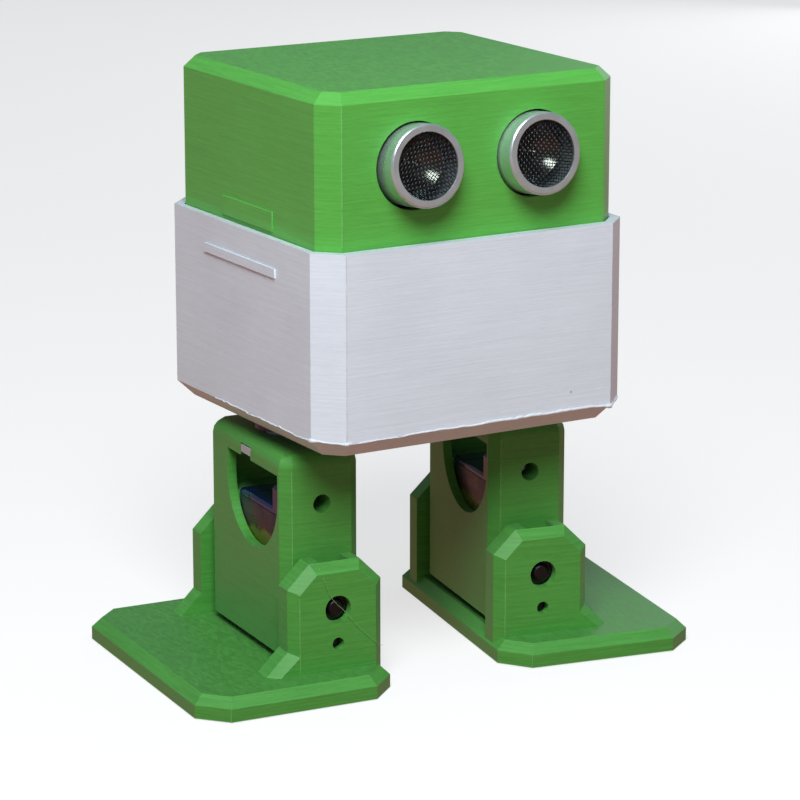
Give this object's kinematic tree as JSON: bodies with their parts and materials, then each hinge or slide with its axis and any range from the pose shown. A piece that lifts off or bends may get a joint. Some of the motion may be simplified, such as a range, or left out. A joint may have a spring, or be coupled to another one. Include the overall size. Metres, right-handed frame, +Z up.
{
  "type": "two-legged walking robot",
  "caption": "Printed desktop walking robot: sensor-eyed head on a body box, two servo legs and wide feet.",
  "frame": {"origin": "on the floor, midway between the outermost points of the feet", "axes": "+Z up, the sensor eyes face -Y, the robot's own right side is at -X"},
  "size_m": [0.117, 0.0712, 0.1186],
  "materials": {
    "green_print": "3D-printed, fine horizontal layer lines, satin",
    "white_print": "3D-printed, fine horizontal layer lines, satin",
    "sensor_can": "satin turned",
    "sensor_mesh": "fine woven wire, dark",
    "sensor_cone": "satin",
    "circuit_board": "solder mask",
    "black_plastic": "moulded",
    "steel": "zinc plated",
    "brass": "machined",
    "nylon": "moulded nylon, slightly translucent",
    "servo_case": "translucent navy moulding",
    "battery_wrap": "shrink wrap"
  },
  "bodies": {
    "torso": {"body_shell": "white_print", "battery_holder": "black_plastic", "battery_pack": "battery_wrap", "switch_housing": "black_plastic", "right_hip_servo_base": "servo_case", "right_hip_servo_case": "servo_case", "right_hip_servo_gear_cover": "servo_case", "right_hip_servo_screw_near": "steel", "right_hip_servo_screw_far": "steel", "left_hip_servo_base": "servo_case", "left_hip_servo_case": "servo_case", "left_hip_servo_gear_cover": "servo_case", "left_hip_servo_screw_near": "steel", "left_hip_servo_screw_far": "steel"},
    "head": {"head_shell": "green_print", "sensor_board": "circuit_board", "sensor_can_right": "sensor_can", "sensor_can_left": "sensor_can", "sensor_mesh_right": "sensor_mesh", "sensor_mesh_left": "sensor_mesh", "sensor_cone_right": "sensor_cone", "sensor_cone_left": "sensor_cone", "sensor_header": "black_plastic", "io_shield": "circuit_board", "board_socket_right": "black_plastic", "board_socket_left": "black_plastic", "controller_board": "circuit_board", "usb_socket": "steel", "buzzer": "black_plastic"},
    "power_slider": {"power_slider": "nylon"},
    "reset_button": {"reset_button": "black_plastic"},
    "right_leg": {"right_leg_shell": "green_print", "right_hip_shaft": "brass", "right_hip_horn": "nylon", "right_hip_screw": "steel", "right_ankle_servo_base": "servo_case", "right_ankle_servo_case": "servo_case", "right_ankle_servo_gear_cover": "servo_case", "right_ankle_servo_screw_near": "steel", "right_ankle_servo_screw_far": "steel", "right_ankle_pivot": "steel"},
    "right_foot": {"right_foot_shell": "green_print", "right_ankle_shaft": "brass", "right_ankle_horn": "black_plastic", "right_ankle_horn_screw": "steel"},
    "left_leg": {"left_leg_shell": "green_print", "left_hip_shaft": "brass", "left_hip_horn": "nylon", "left_hip_screw": "steel", "left_ankle_servo_base": "servo_case", "left_ankle_servo_case": "servo_case", "left_ankle_servo_gear_cover": "servo_case", "left_ankle_servo_screw_near": "steel", "left_ankle_servo_screw_far": "steel", "left_ankle_pivot": "steel"},
    "left_foot": {"left_foot_shell": "green_print", "left_ankle_shaft": "brass", "left_ankle_horn": "black_plastic", "left_ankle_horn_screw": "steel"}
  },
  "joints": [
    {"name": "right_hip_yaw", "type": "hinge", "parent": "torso", "child": "right_leg", "pos_m": [-0.02555, 0.00164, 0.05], "axis": [0, 0, 1], "range_deg": [-25.9, 34.1]},
    {"name": "left_hip_yaw", "type": "hinge", "parent": "torso", "child": "left_leg", "pos_m": [0.02335, 0.00044, 0.05], "axis": [0, 0, 1], "range_deg": [-20.4, 39.6]},
    {"name": "right_ankle_roll", "type": "hinge", "parent": "right_leg", "child": "right_foot", "pos_m": [-0.02555, 0.00164, 0.0169], "axis": [-0.0715, -0.9974, 0], "range_deg": [-45, 45]},
    {"name": "left_ankle_roll", "type": "hinge", "parent": "left_leg", "child": "left_foot", "pos_m": [0.02335, 0.00044, 0.0169], "axis": [-0.1668, -0.986, 0], "range_deg": [-45, 45]},
    {"name": "head_lift", "type": "slide", "parent": "torso", "child": "head", "axis": [0, 0, 1], "range_m": [0, 0.045]},
    {"name": "power_switch", "type": "slide", "parent": "torso", "child": "power_slider", "axis": [1, 0, 0], "range_m": [0, 0.003]},
    {"name": "reset_press", "type": "slide", "parent": "head", "child": "reset_button", "axis": [0, 0, -1], "range_m": [0, 0.00025], "stiffness_N_per_m": 400, "springref_m": -0.0005}
  ]
}
